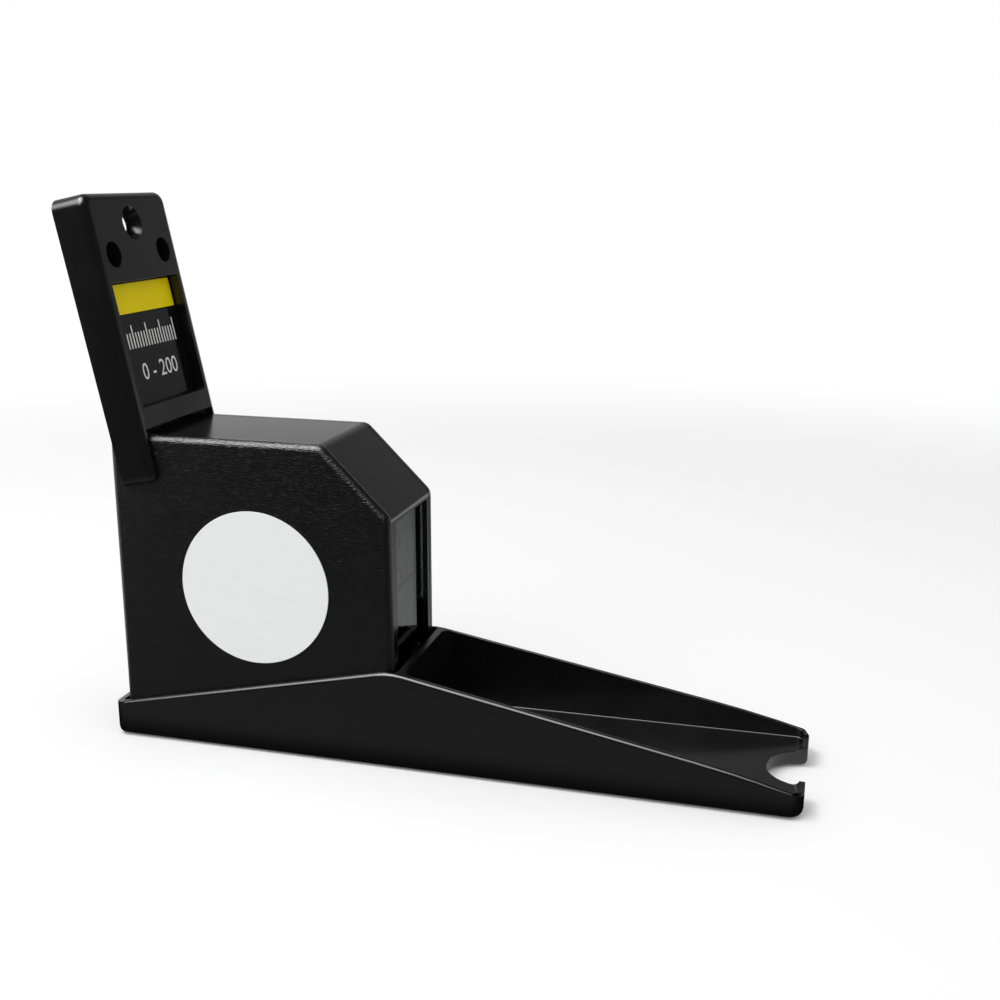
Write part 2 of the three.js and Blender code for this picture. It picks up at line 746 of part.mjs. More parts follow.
headUnit.add(
  piece('foot', foot(), blackSatin),
  piece('housing_shell', housingShell(), blackGrained),
  piece('side_cover', sideCover(), blackGrained),
  piece('window_lens', block(
    lensFront - lensThickness, lensFront, -lensHalf, lensHalf, windowBottom - lensLap, windowTop + lensLap,
  ), clear),
  piece('reading_line', block(
    lineBack, lineBack + lineThickness,
    -windowWidth / 2, windowWidth / 2, reelZ - lineHeight / 2, reelZ + lineHeight / 2,
  ), redLine),
  piece('side_label', rodY(labelX, labelZ, labelRadius, -halfWidth - labelThickness, -halfWidth), whiteLabel),
);

coverScrewPlaces.forEach(([x, z], i) => {
  const screw = piece(`cover_screw_${i + 1}`, coverScrew(), zincSteel);
  screw.position.set(x, 0, z);
  headUnit.add(screw);
});

footScrewPlaces.forEach((x, i) => {
  const screw = piece(`foot_screw_${i + 1}`, footScrew(), zincSteel);
  screw.position.set(x, 0, 0);
  headUnit.add(screw);
});

reel.add(
  piece('reel_arbor', reelArbor(), brightSteel),
  piece('power_spring', powerSpring(), springSteel),
  piece('reel_drum', reelDrum(), greyNylon),
  piece('reel_flange', reelFlange(), greyNylon),
  piece('tape_coil', tapeCoil(), tapeEnamel),
);

tapeRun.add(
  piece('tape_stretch', tapeStretch(), tapeEnamel),
  piece('tape_end_loop', tapeEndLoop(), tapeEnamel),
);

bracketTilt.add(piece('loop_pin', loopPin(), brightSteel));
bracket.add(
  piece('bracket_shell', bracketShell(), blackSatin),
  piece('marking_plate', markingPlate(), blackSatin),
  piece('level_strip', levelStrip(), yellowStrip),
);

export default stadiometer;
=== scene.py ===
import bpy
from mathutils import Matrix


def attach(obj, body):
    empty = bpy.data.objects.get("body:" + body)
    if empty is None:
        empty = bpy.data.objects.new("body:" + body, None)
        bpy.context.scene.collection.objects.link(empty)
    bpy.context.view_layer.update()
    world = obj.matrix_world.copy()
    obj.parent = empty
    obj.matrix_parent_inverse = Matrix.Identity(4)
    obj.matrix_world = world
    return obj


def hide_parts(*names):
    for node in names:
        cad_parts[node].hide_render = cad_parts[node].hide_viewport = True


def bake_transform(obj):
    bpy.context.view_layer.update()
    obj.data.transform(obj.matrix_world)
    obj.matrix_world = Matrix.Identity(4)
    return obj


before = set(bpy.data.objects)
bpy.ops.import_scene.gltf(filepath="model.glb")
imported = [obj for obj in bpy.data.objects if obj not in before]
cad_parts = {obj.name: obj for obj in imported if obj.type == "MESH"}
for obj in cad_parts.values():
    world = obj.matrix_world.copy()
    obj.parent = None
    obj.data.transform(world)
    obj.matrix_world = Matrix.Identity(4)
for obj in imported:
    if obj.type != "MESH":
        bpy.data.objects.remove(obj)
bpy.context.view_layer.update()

from math import cos, pi, radians, sin

import bmesh
import bpy
from mathutils import Matrix, Vector

# Sizes of the real object in millimetres, measured from the tape's line, the foot's sole and mid-width
MM = 0.001
HOUSING_HALF_WIDTH = 15.3
REEL_X, REEL_Z = 30.05, 40.0
COIL_RADIUS = 30.15
TAPE_WIDTH = 19.0
TAPE_THICKNESS = 0.2
TAPE_TURNS = 11.75
TURN_GAP = 0.02
TAPE_LOW, TAPE_HIGH = 43.6, 69.9025
LABEL_X, LABEL_Z, LABEL_RADIUS = 31.4, 40.0, 18.15
LABEL_THICKNESS = 0.2
PIN_Z = 77.6525
LEAN = radians(11.75)
PIN_FROM_WALL, PIN_FROM_BOTTOM = 2.5, 15.4
PLATE_FRONT = 6.0
COVER_SCREWS = [(2.6, 10.5), (58.2, 10.5), (53.915, 63.865), (10.4, 69.8)]
FOOT_SCREWS = [7.4, 53.4]
# The tray's fillet in metres: its lower and upper height, and how far it comes out from the wall
TRAY_LOW, TRAY_HIGH, TRAY_REACH = 0.004, 0.0056, 0.00175
TRAY_ROWS = 4
TRAY_SHARE = 0.12
# The foot's rim in metres: half its inner width, its inner ends, and where its rounding starts and ends
RIM_HALF_WIDTH = 0.0164
RIM_REAR, RIM_TIP = -0.0058, 0.1554
ROUND_REAR, ROUND_TIP = -0.003, 0.1465
RIM_INNER_SHARE = 0.14
ROOM_SHARE = 2.2
FLAT_ANGLE, SHARP_ANGLE = radians(0.6), radians(40)
SAME_PLACE = 2e-6


# Helpers

def colour(code):
    """A linear colour from an sRGB hex value."""
    channels = [int(code[i:i + 2], 16) / 255 for i in (1, 3, 5)]
    linear = [c / 12.92 if c <= 0.04045 else ((c + 0.055) / 1.055) ** 2.4 for c in channels]
    return (*linear, 1)


def node(tree, kind, inputs=None, **settings):
    """Adds a node, applies its settings, and sets or links its inputs. Returns its outputs."""
    made = tree.nodes.new(kind)
    for name, value in settings.items():
        setattr(made, name, value)
    for name, value in (inputs or {}).items():
        if isinstance(value, bpy.types.NodeSocket):
            tree.links.new(value, made.inputs[name])
        else:
            made.inputs[name].default_value = value
    return made.outputs


def finish_of(name, base, roughness, **sockets):
    """A new material with its Principled shader's plain values. Returns it, its tree and the shader."""
    material = bpy.data.materials.new(name)
    material.use_nodes = True
    tree = material.node_tree
    shader = tree.nodes["Principled BSDF"]
    shader.inputs["Base Color"].default_value = colour(base)
    shader.inputs["Roughness"].default_value = roughness
    for socket, value in sockets.items():
        shader.inputs[socket.replace("_", " ")].default_value = value
    material.diffuse_color = colour(base)
    return material, tree, shader


def shade(piece, smooth_under):
    """Smooth shading, with edges sharper than the angle kept crisp."""
    piece.data.shade_smooth()
    work = bmesh.new()
    work.from_mesh(piece.data)
    for edge in work.edges:
        edge.smooth = len(edge.link_faces) == 2 and edge.calc_face_angle(pi) < radians(smooth_under)
    work.to_mesh(piece.data)
    work.free()


def cut_across(work, place, normal):
    """Cuts all faces of a bmesh along a plane."""
    everything = work.verts[:] + work.edges[:] + work.faces[:]
    bmesh.ops.bisect_plane(work, geom=everything, plane_co=place, plane_no=normal)


def linked(name, data):
    """A new object of the scene, at the origin."""
    made = bpy.data.objects.new(name, data)
    bpy.context.scene.collection.objects.link(made)
    return made


def placed(name, mesh, material, smooth_under=35):
    """An object at the origin from a mesh in metres, with its faces turned outwards."""
    piece = linked(name, mesh)
    mesh.materials.clear()
    mesh.materials.append(material)
    work = bmesh.new()
    work.from_mesh(mesh)
    bmesh.ops.recalc_face_normals(work, faces=work.faces)
    work.to_mesh(mesh)
    work.free()
    shade(piece, smooth_under)
    return piece


def dressed(name, vertices, faces, material, smooth_under=35):
    """A mesh piece from points in millimetres."""
    mesh = bpy.data.meshes.new(name)
    mesh.from_pydata([(x * MM, y * MM, z * MM) for x, y, z in vertices], [], faces)
    return placed(name, mesh, material, smooth_under)


def carried(piece, body, replaced=()):
    """The piece rides on its body and stands for CAD nodes."""
    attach(piece, body)
    if replaced:
        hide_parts(*replaced)
    return piece


def grown(name, points, tree, values, material):
    """Runs a Geometry Nodes tree on a cloud of points in metres and keeps the result as a plain mesh."""
    cloud = bpy.data.meshes.new(name + "_points")
    cloud.from_pydata(points, [], [])
    holder = linked(name + "_source", cloud)
    modifier = holder.modifiers.new("tree", "NODES")
    modifier.node_group = tree
    sockets = {s.name: s.identifier for s in tree.interface.items_tree if s.in_out == "INPUT"}
    for label, value in values.items():
        modifier[sockets[label]] = value
    graph = bpy.context.evaluated_depsgraph_get()
    mesh = bpy.data.meshes.new_from_object(holder.evaluated_get(graph))
    mesh.name = name
    bpy.data.objects.remove(holder)
    return placed(name, mesh, material)


def tree_with(name, inputs):
    """An empty Geometry Nodes tree with named sizes in metres. Returns it, its inputs and its end."""
    tree = bpy.data.node_groups.new(name, "GeometryNodeTree")
    tree.interface.new_socket("Geometry", in_out="INPUT", socket_type="NodeSocketGeometry")
    tree.interface.new_socket("Geometry", in_out="OUTPUT", socket_type="NodeSocketGeometry")
    for label, kind in inputs.items():
        tree.interface.new_socket(label, in_out="INPUT", socket_type=kind)
    start = node(tree, "NodeGroupInput")
    end = tree.nodes.new("NodeGroupOutput")
    return tree, start, end


def on_bracket(depth, across, along):
    """A place in millimetres from one in the upright bracket: out from the wall, across and along it."""
    ahead, above = depth - PIN_FROM_WALL, along - PIN_FROM_BOTTOM
    return (ahead * cos(LEAN) - above * sin(LEAN), across, PIN_Z + ahead * sin(LEAN) + above * cos(LEAN))


# Camera, from the perspective of the object's straight edges in the photo

def set_camera():
    lens_data = bpy.data.cameras.new("camera")
    lens_data.sensor_width = 36
    lens_data.lens = 45.937
    camera = linked("camera", lens_data)
    camera.location = Vector((157.952, -269.265, 131.603)) * MM
    forward = Vector((-0.25214, 0.93587, -0.2461))
    level = forward.to_track_quat("-Z", "Y").to_matrix().to_4x4()
    roll = Matrix.Rotation(radians(0.154), 4, "Z")
    camera.rotation_mode = "QUATERNION"
    camera.rotation_quaternion = (level @ roll).to_quaternion()
    lens_data.clip_start = 0.01
    bpy.context.scene.camera = camera


# Studio: a pale floor, a white backdrop that ends low, a dim room and two lit places in it

def set_world():
    world = bpy.data.worlds.new("studio")
    bpy.context.scene.world = world
    world.use_nodes = True
    tree = world.node_tree
    background = tree.nodes["Background"]
    direction = node(tree, "ShaderNodeTexCoord")["Generated"]
    axes = node(tree, "ShaderNodeSeparateXYZ", {0: direction})
    room = 0.0
    # A glow at the back left and one overhead: direction, range of its dot product and of its brightness
    for aim, dots, values in (
        ((-0.7, 0.65, 0.3), (0.25, 1.05), (0.05, 0.52)),
        ((-0.27, -0.44, 0.856), (0.8, 0.92), (0.0, 8.0)),
    ):
        towards = node(tree, "ShaderNodeVectorMath", {0: direction, 1: aim}, operation="DOT_PRODUCT")
        glow = node(tree, "ShaderNodeMapRange", {
            "Value": towards["Value"], "From Min": dots[0], "From Max": dots[1],
            "To Min": values[0], "To Max": values[1],
        }, interpolation_type="SMOOTHSTEP")[0]
        room = node(tree, "ShaderNodeMath", {0: room, 1: glow}, operation="ADD")[0]
    low = node(tree, "ShaderNodeMapRange", {
        "Value": axes["Z"], "From Min": 0.10, "From Max": 0.17, "To Min": 1.0, "To Max": 0.0,
    }, interpolation_type="SMOOTHSTEP")[0]
    behind = node(tree, "ShaderNodeMapRange", {
        "Value": axes["Y"], "From Min": -0.1, "From Max": 0.3,
    }, interpolation_type="SMOOTHSTEP")[0]
    backdrop = node(tree, "ShaderNodeMath", {0: low, 1: behind}, operation="MULTIPLY")[0]
    path = node(tree, "ShaderNodeLightPath")
    white = node(tree, "ShaderNodeMath", {0: backdrop, 1: path["Is Camera Ray"]}, operation="MAXIMUM")[0]
    seen = node(tree, "ShaderNodeMix", {0: white, 2: room, 3: 1.0})[0]
    through = node(tree, "ShaderNodeMath", {0: path["Is Glossy Ray"], 1: path["Is Transmission Ray"]},
                   operation="MAXIMUM")[0]
    shown = node(tree, "ShaderNodeMath", {0: through, 1: path["Is Camera Ray"]}, operation="MAXIMUM")[0]
    front = (0.5, -0.85, 0.0)
    ahead = node(tree, "ShaderNodeVectorMath", {0: direction, 1: front}, operation="DOT_PRODUCT")
    fill = node(tree, "ShaderNodeMapRange", {
        "Value": ahead["Value"], "From Min": -1.0, "From Max": 1.0, "To Min": 0.42, "To Max": 0.87,
    })[0]
    strength = node(tree, "ShaderNodeMix", {0: shown, 2: fill, 3: seen})[0]
    background.inputs["Color"].default_value = (1, 1, 1, 1)
    tree.links.new(strength, background.inputs["Strength"])


def softbox(name, place, aim, size, power):
    """A rectangular lamp in metres that the camera doesn't see."""
    lamp = bpy.data.lights.new(name, "AREA")
    lamp.shape = "RECTANGLE"
    lamp.size, lamp.size_y = size
    lamp.energy = power
    holder = linked(name, lamp)
    holder.location = place
    holder.rotation_euler = (Vector(aim) - Vector(place)).to_track_quat("-Z", "Y").to_euler()
    holder.visible_camera = False


def staged(name, corners, material):
    """A flat sheet of the studio, from its corners in metres."""
    mesh = bpy.data.meshes.new(name)
    mesh.from_pydata(corners, [], [(0, 1, 2, 3)])
    mesh.materials.append(material)
    sheet = linked(name, mesh)
    return sheet


def set_floor():
    """White paper, which the eye and the reflections see as plain white far from the part."""
    material, tree, shader = finish_of("studio_paper", "#fbfbfb", 1.0, Specular_IOR_Level=0.0)
    place = node(tree, "ShaderNodeTexCoord")["Object"]
    centre = (0.07, 0.0, 0.0)
    away = node(tree, "ShaderNodeVectorMath", {0: place, 1: centre}, operation="DISTANCE")["Value"]
    far = node(tree, "ShaderNodeMapRange", {
        "Value": away, "From Min": 0.3, "From Max": 0.6,
    }, interpolation_type="SMOOTHSTEP")[0]
    path = node(tree, "ShaderNodeLightPath")
    through = node(tree, "ShaderNodeMath", {0: path["Is Glossy Ray"], 1: path["Is Transmission Ray"]},
                   operation="MAXIMUM")[0]
    shown = node(tree, "ShaderNodeMath", {0: through, 1: path["Is Camera Ray"]}, operation="MAXIMUM")[0]
    little = node(tree, "ShaderNodeMath", {0: shown, 1: 0.05}, operation="MULTIPLY")[0]
    lift = node(tree, "ShaderNodeEmission", {"Color": (1, 1, 1, 1), "Strength": little})[0]
    lit = node(tree, "ShaderNodeAddShader", {0: shader.outputs[0], 1: lift})[0]
    plain = node(tree, "ShaderNodeEmission", {"Color": (1, 1, 1, 1), "Strength": 1.0})[0]
    share = node(tree, "ShaderNodeMath", {0: far, 1: shown}, operation="MULTIPLY")[0]
    paper = node(tree, "ShaderNodeMixShader", {0: share, 1: lit, 2: plain})[0]
    tree.links.new(paper, tree.nodes["Material Output"].inputs["Surface"])
    reach, under = 3.0, -0.0001
    corners = [(-reach, -reach), (reach, -reach), (reach, reach), (-reach, reach)]
    staged("studio_floor", [(x, y, under) for x, y in corners], material)


def set_cards():
    """Grey cards, seen in reflections alone, keep white paper out of the black mouldings' faces. Their
    greys are painted reflection, lighter towards the part, with a painted shadow at the foot's edge.
    """
    lift = 0.0006
    cards = []
    near = [(-2.3, -2.9), (2.9, -2.9), (2.9, 0.0), (-0.03, 0.0)]
    beyond = [(0.066, 0.03), (0.2, 0.03), (0.2, 0.28), (0.066, 0.28)]
    upright = [(0.1, 0.3, 0.05), (0.26, 0.3, 0.05), (0.26, 0.3, 0.24), (0.1, 0.3, 0.24)]
    # Name, corners, and the Y range over which its grey runs from one value to the other
    for name, corners, ys, greys in (
        ("card_near", near, (-0.2, -0.02), (0.02, 0.2)),
        ("card_beyond", beyond, (0.03, 0.28), (0.52, 0.18)),
    ):
        material, tree, shader = finish_of(name, "#606060", 1.0, Specular_IOR_Level=0.0)
        place = node(tree, "ShaderNodeTexCoord")["Object"]
        across = node(tree, "ShaderNodeSeparateXYZ", {0: place})["Y"]
        # Painted reflection: each card's grey is lighter towards the part, so the mouldings mirror a
        # room that brightens near it.
        tone = node(tree, "ShaderNodeMapRange", {
            "Value": across, "From Min": ys[0], "From Max": ys[1],
            "To Min": greys[0], "To Max": greys[1],
        })[0]
        # Painted shadow: the grey fades to black from 27 to 20 mm in front of mid-width and stays black
        # up to it. This stands for the foot's shadow on the floor, which the sole's rounded edge
        # mirrors.
        outside_painted_shadow = node(tree, "ShaderNodeMapRange", {
            "Value": across, "From Min": -0.027, "From Max": -0.02, "To Min": 1.0, "To Max": 0.0,
        })[0]
        apart = node(tree, "ShaderNodeMath", {0: across, 1: 0.0}, operation="GREATER_THAN")[0]
        outside_painted_shadow = node(tree, "ShaderNodeMath", {0: outside_painted_shadow, 1: apart}, operation="MAXIMUM")[0]
        tone = node(tree, "ShaderNodeMath", {0: tone, 1: outside_painted_shadow}, operation="MULTIPLY")[0]
        grey = node(tree, "ShaderNodeCombineColor", {0: tone, 1: tone, 2: tone})[0]
        tree.links.new(grey, shader.inputs["Base Color"])
        cards.append(staged(name, [(x, y, lift) for x, y in corners], material))
    dark = finish_of("card_dark", "#7b7b7b", 1.0, Specular_IOR_Level=0.0)[0]
    cards.append(staged("card_dark", upright, dark))
    for card in cards:
        card.visible_camera = False
        card.visible_diffuse = False
        card.visible_shadow = False
        card.visible_transmission = False


# Finishes

def grained_abs():
    """Black ABS from a spark-eroded mould. The sides carry a fine leather grain that scatters the light,
    and the top, chamfer and front are left smooth, so they mirror what is near."""
    material, tree, shader = finish_of("abs_leather_grain", "#080809", 0.3, IOR=1.53)
    place = node(tree, "ShaderNodeTexCoord")["Object"]
    across = node(tree, "ShaderNodeSeparateXYZ", {0: place})["Y"]
    outward = node(tree, "ShaderNodeMath", {0: across}, operation="ABSOLUTE")[0]
    sides = node(tree, "ShaderNodeMapRange", {
        "Value": outward, "From Min": 0.0133, "From Max": 0.0138,
    }, interpolation_type="SMOOTHSTEP")[0]
    # Grain cells are 0.35 mm in the real mould, drawn 0.45 mm tall and longer along X so that they show
    drawn = node(tree, "ShaderNodeMapping", {0: place, "Scale": (0.3, 1.0, 1.0)})[0]
    cells = node(tree, "ShaderNodeTexVoronoi", {"Vector": drawn, "Scale": 1 / 0.00045},
                 feature="DISTANCE_TO_EDGE")["Distance"]
    creases = node(tree, "ShaderNodeMapRange", {
        "Value": cells, "From Min": 0.0, "From Max": 0.25, "To Min": 0.0, "To Max": 0.6,
    })[0]
    pores = node(tree, "ShaderNodeTexNoise", {
        "Vector": drawn, "Scale": 1 / 0.0006, "Detail": 4.0,
    })["Fac"]
    height = node(tree, "ShaderNodeMath", {0: creases, 1: pores}, operation="ADD")[0]
    masked = node(tree, "ShaderNodeMath", {0: height, 1: sides}, operation="MULTIPLY")[0]
    grain = node(tree, "ShaderNodeBump", {"Strength": 0.5, "Distance": 0.00012, "Height": masked})[0]
    tree.links.new(grain, shader.inputs["Normal"])
    worn = node(tree, "ShaderNodeMath", {0: pores, 1: 0.3, 2: sides}, operation="MULTIPLY_ADD")[0]
    dull = node(tree, "ShaderNodeMapRange", {
        "Value": worn, "From Min": 0.0, "From Max": 1.3, "To Min": 0.15, "To Max": 0.34,
    })[0]
    tree.links.new(dull, shader.inputs["Roughness"])
    return material


def satin_abs():
    """Black ABS from a polished mould: a glossy dark skin with faint long waves where it shrank."""
    material, tree, shader = finish_of("abs_satin", "#0e0e0f", 0.22, IOR=1.53)
    place = node(tree, "ShaderNodeTexCoord")["Object"]
    # Sink waves of about 9 mm, and handling haze of about 14 mm
    waves = node(tree, "ShaderNodeTexNoise", {"Vector": place, "Scale": 1 / 0.009, "Detail": 2.0})["Fac"]
    haze = node(tree, "ShaderNodeTexNoise", {
        "Vector": place, "Scale": 1 / 0.014, "Detail": 6.0, "Roughness": 0.65,
    })["Fac"]
    skin = node(tree, "ShaderNodeBump", {"Strength": 0.1, "Distance": 0.0003, "Height": waves})[0]
    tree.links.new(skin, shader.inputs["Normal"])
    dull = node(tree, "ShaderNodeMapRange", {
        "Value": haze, "From Min": 0.3, "From Max": 0.7, "To Min": 0.16, "To Max": 0.26,
    })[0]
    tree.links.new(dull, shader.inputs["Roughness"])
    return material


def gloss_plate():
    """Black acrylic plate, polished, so it mirrors the recess wall beside it."""
    material, tree, shader = finish_of("acrylic_plate", "#0e0e0f", 0.1, IOR=1.49)
    place = node(tree, "ShaderNodeTexCoord")["Object"]
    haze = node(tree, "ShaderNodeTexNoise", {"Vector": place, "Scale": 1 / 0.006, "Detail": 5.0})["Fac"]
    dull = node(tree, "ShaderNodeMapRange", {
        "Value": haze, "From Min": 0.3, "From Max": 0.7, "To Min": 0.07, "To Max": 0.14,
    })[0]
    tree.links.new(dull, shader.inputs["Roughness"])
    return material


def window_with_painted_shade():
    """Acrylic window: glassy, with a trace of fine wiping scratches. Its grey tint is painted shade: it
    darkens the tape seen through it, which lies in shade inside the housing.
    """
    material, tree, shader = finish_of("acrylic_window", "#7f8384", 0.03, IOR=1.49,
                                       Transmission_Weight=1.0)
    place = node(tree, "ShaderNodeTexCoord")["Object"]
    smear = node(tree, "ShaderNodeTexNoise", {"Vector": place, "Scale": 1 / 0.004, "Detail": 6.0})["Fac"]
    dull = node(tree, "ShaderNodeMapRange", {
        "Value": smear, "From Min": 0.3, "From Max": 0.7, "To Min": 0.03, "To Max": 0.06,
    })[0]
    tree.links.new(dull, shader.inputs["Roughness"])
    return material


def label_film():
    """White vinyl label: even and satin, with very slight waves from the grain under it."""
    material, tree, shader = finish_of("vinyl_label", "#e4e4e4", 0.38, IOR=1.5)
    place = node(tree, "ShaderNodeTexCoord")["Object"]
    waves = node(tree, "ShaderNodeTexNoise", {
        "Vector": place, "Scale": 1 / 0.0025, "Detail": 3.0,
    })["Fac"]
    skin = node(tree, "ShaderNodeBump", {"Strength": 0.08, "Distance": 0.0001, "Height": waves})[0]
    tree.links.new(skin, shader.inputs["Normal"])
    tone = node(tree, "ShaderNodeMix", {
        0: waves, 6: colour("#e0e1e1"), 7: colour("#e7e7e7"),
    }, data_type="RGBA")[2]
    tree.links.new(tone, shader.inputs["Base Color"])
    return material


def yellow_film():
    """Yellow vinyl strip, a little uneven where it was pressed on."""
    material, tree, shader = finish_of("vinyl_yellow", "#dcc800", 0.45, IOR=1.5, Specular_IOR_Level=0.1)
    place = node(tree, "ShaderNodeTexCoord")["Object"]
    press = node(tree, "ShaderNodeTexNoise", {"Vector": place, "Scale": 1 / 0.005, "Detail": 3.0})["Fac"]
    tone = node(tree, "ShaderNodeMix", {
        0: press, 6: colour("#d6c000"), 7: colour("#e6d000"),
    }, data_type="RGBA")[2]
    tree.links.new(tone, shader.inputs["Base Color"])
    return material


def ink(name, code):
    """Screen ink: opaque, dry and slightly broken in its surface."""
    material, tree, shader = finish_of(name, code, 0.5)
    place = node(tree, "ShaderNodeTexCoord")["Object"]
    weave = node(tree, "ShaderNodeTexNoise", {
        "Vector": place, "Scale": 1 / 0.0004, "Detail": 2.0,
    })["Fac"]
    dull = node(tree, "ShaderNodeMapRange", {
        "Value": weave, "From Min": 0.3, "From Max": 0.7, "To Min": 0.42, "To Max": 0.6,
    })[0]
    tree.links.new(dull, shader.inputs["Roughness"])
    return material


def enamelled_tape(wound):
    """White enamel baked on spring steel, with printed millimetre ticks at both edges."""
    name = "enamel_tape_wound" if wound else "enamel_tape_straight"
    material, tree, shader = finish_of(name, "#dcdcd4", 0.3, IOR=1.5, Coat_Weight=0.4,
                                       Coat_Roughness=0.15)
    place = node(tree, "ShaderNodeTexCoord")["Object"]
    x, y, z = node(tree, "ShaderNodeSeparateXYZ", {0: place})
    if wound:
        ahead = node(tree, "ShaderNodeMath", {0: x, 1: REEL_X * MM}, operation="SUBTRACT")[0]
        above = node(tree, "ShaderNodeMath", {0: z, 1: REEL_Z * MM}, operation="SUBTRACT")[0]
        angle = node(tree, "ShaderNodeMath", {0: above, 1: ahead}, operation="ARCTAN2")[0]
        along = node(tree, "ShaderNodeMath", {0: angle, 1: COIL_RADIUS}, operation="MULTIPLY")[0]
    else:
        along = node(tree, "ShaderNodeMath", {0: z, 1: MM}, operation="DIVIDE")[0]
    outward = node(tree, "ShaderNodeMath", {0: y}, operation="ABSOLUTE")[0]
    marks = 0.0
    # Pitch, line width and reach from the tape's edge of the printed ticks, in millimetres
    for pitch, width, reach in ((1, 0.22, 2.2), (5, 0.3, 3.2), (10, 0.35, 4.6)):
        beside = node(tree, "ShaderNodeMath", {0: along, 1: pitch / 2}, operation="PINGPONG")[0]
        on_line = node(tree, "ShaderNodeMath", {0: beside, 1: width / 2}, operation="LESS_THAN")[0]
        near_edge = node(tree, "ShaderNodeMath", {0: outward, 1: (TAPE_WIDTH / 2 - reach) * MM},
                         operation="GREATER_THAN")[0]
        tick = node(tree, "ShaderNodeMath", {0: on_line, 1: near_edge}, operation="MULTIPLY")[0]
        marks = node(tree, "ShaderNodeMath", {0: marks, 1: tick}, operation="MAXIMUM")[0]
    tone = node(tree, "ShaderNodeMix", {
        0: marks, 6: colour("#dcdcd4"), 7: colour("#17171a"),
    }, data_type="RGBA")[2]
    tree.links.new(tone, shader.inputs["Base Color"])
    return material


def steel(name, base, roughness, line, axis):
    """Steel that was turned, drawn or plated: fine lines along one axis stretch its highlights."""
    material, tree, shader = finish_of(name, base, roughness, Metallic=1.0)
    place = node(tree, "ShaderNodeTexCoord")["Object"]
    scale = [0.05, 0.05, 0.05]
    scale["XYZ".index(axis)] = 1.0
    drawn = node(tree, "ShaderNodeMapping", {0: place, "Scale": scale})[0]
    lines = node(tree, "ShaderNodeTexNoise", {
        "Vector": drawn, "Scale": 1 / (line * MM), "Detail": 3.0,
    })["Fac"]
    dull = node(tree, "ShaderNodeMapRange", {
        "Value": lines, "From Min": 0.3, "From Max": 0.7,
        "To Min": roughness - 0.08, "To Max": roughness + 0.1,
    })[0]
    tree.links.new(dull, shader.inputs["Roughness"])
    skin = node(tree, "ShaderNodeBump", {"Strength": 0.1, "Distance": 0.00005, "Height": lines})[0]
    tree.links.new(skin, shader.inputs["Normal"])
    return material


def nylon():
    """Natural grey nylon, matt from the mould, with slight cloudy tone."""
    material, tree, shader = finish_of("nylon_grey", "#8f9294", 0.5, Subsurface_Weight=0.05)
    place = node(tree, "ShaderNodeTexCoord")["Object"]
    cloud = node(tree, "ShaderNodeTexNoise", {"Vector": place, "Scale": 1 / 0.008, "Detail": 4.0})["Fac"]
    tone = node(tree, "ShaderNodeMix", {
        0: cloud, 6: colour("#888b8d"), 7: colour("#979a9b"),
    }, data_type="RGBA")[2]
    tree.links.new(tone, shader.inputs["Base Color"])
    return material


bpy.context.scene.view_settings.view_transform = "Standard"
set_camera()
set_world()
softbox("softbox_above", (-0.2, -0.24, 0.72), (0.05, 0, 0.03), (0.5, 0.2), 2.6)
softbox("softbox_front", (-0.5, -0.9, 0.9), (0.05, 0, 0.03), (0.9, 0.9), 1.2)
set_floor()
set_cards()

GRAINED = grained_abs()
SATIN = satin_abs()
PLATE = gloss_plate()
LENS = window_with_painted_shade()
LABEL = label_film()
YELLOW = yellow_film()
WHITE_INK = ink("ink_white", "#d8d8d8")
BLACK_INK = ink("ink_black", "#17171a")
RED_INK = ink("ink_red", "#b3261e")
WOUND_TAPE = enamelled_tape(True)
STRAIGHT_TAPE = enamelled_tape(False)
BRIGHT_STEEL = steel("steel_turned", "#b9bcbf", 0.25, 0.3, "Y")
BLUED_STEEL = steel("steel_blued_strip", "#5c6370", 0.3, 0.4, "Y")
ZINC = steel("steel_zinc_plated", "#a4a8ab", 0.36, 0.3, "Y")
NYLON = nylon()


# Moulded pieces: the frame's own shapes with their facets merged and their sharp edges broken

def tighten_tray(mesh):
    """Draws the fillet round the tray's floor in to an eighth, so that it shows as a thin line."""
    turns = [k * pi / 2 / TRAY_ROWS for k in range(TRAY_ROWS + 1)]
    rows = [TRAY_HIGH - (TRAY_HIGH - TRAY_LOW) * cos(turn) for turn in turns]
    ring = [v.co.copy() for v in mesh.vertices if abs(v.co.z - TRAY_HIGH) < SAME_PLACE]
    for vertex in mesh.vertices:
        if min(abs(vertex.co.z - row) for row in rows) < SAME_PLACE:
            wall = min(ring, key=lambda co: (co.xy - vertex.co.xy).length)
            if (wall.xy - vertex.co.xy).length < TRAY_REACH:
                corner = Vector((wall.x, wall.y, TRAY_LOW))
                vertex.co = corner.lerp(vertex.co, TRAY_SHARE)


def weigh_rim(work, edge):
    """Says how much of the radius each sharp edge of the foot gets: all of it along the rim's outside,
    little inside, none behind the housing, and at the tip what the short edges there have room for."""
    for cut in (ROUND_REAR, ROUND_TIP):
        cut_across(work, (cut, 0, 0), (1, 0, 0))
    share = work.edges.layers.float.new("bevel_weight_edge")
    for line in work.edges:
        if line.calc_face_angle(0) > SHARP_ANGLE:
            middle = (line.verts[0].co + line.verts[1].co) / 2
            inside = abs(middle.y) < RIM_HALF_WIDTH and RIM_REAR < middle.x < RIM_TIP
            line[share] = RIM_INNER_SHARE if inside else 1.0
            if middle.x < ROUND_REAR:
                line[share] = 0.0
            elif middle.x > ROUND_TIP:
                around = [other for vertex in line.verts for other in vertex.link_edges]
                shortest = min(other.calc_length() for other in around)
                line[share] = min(line[share], shortest / (ROOM_SHARE * edge * MM))


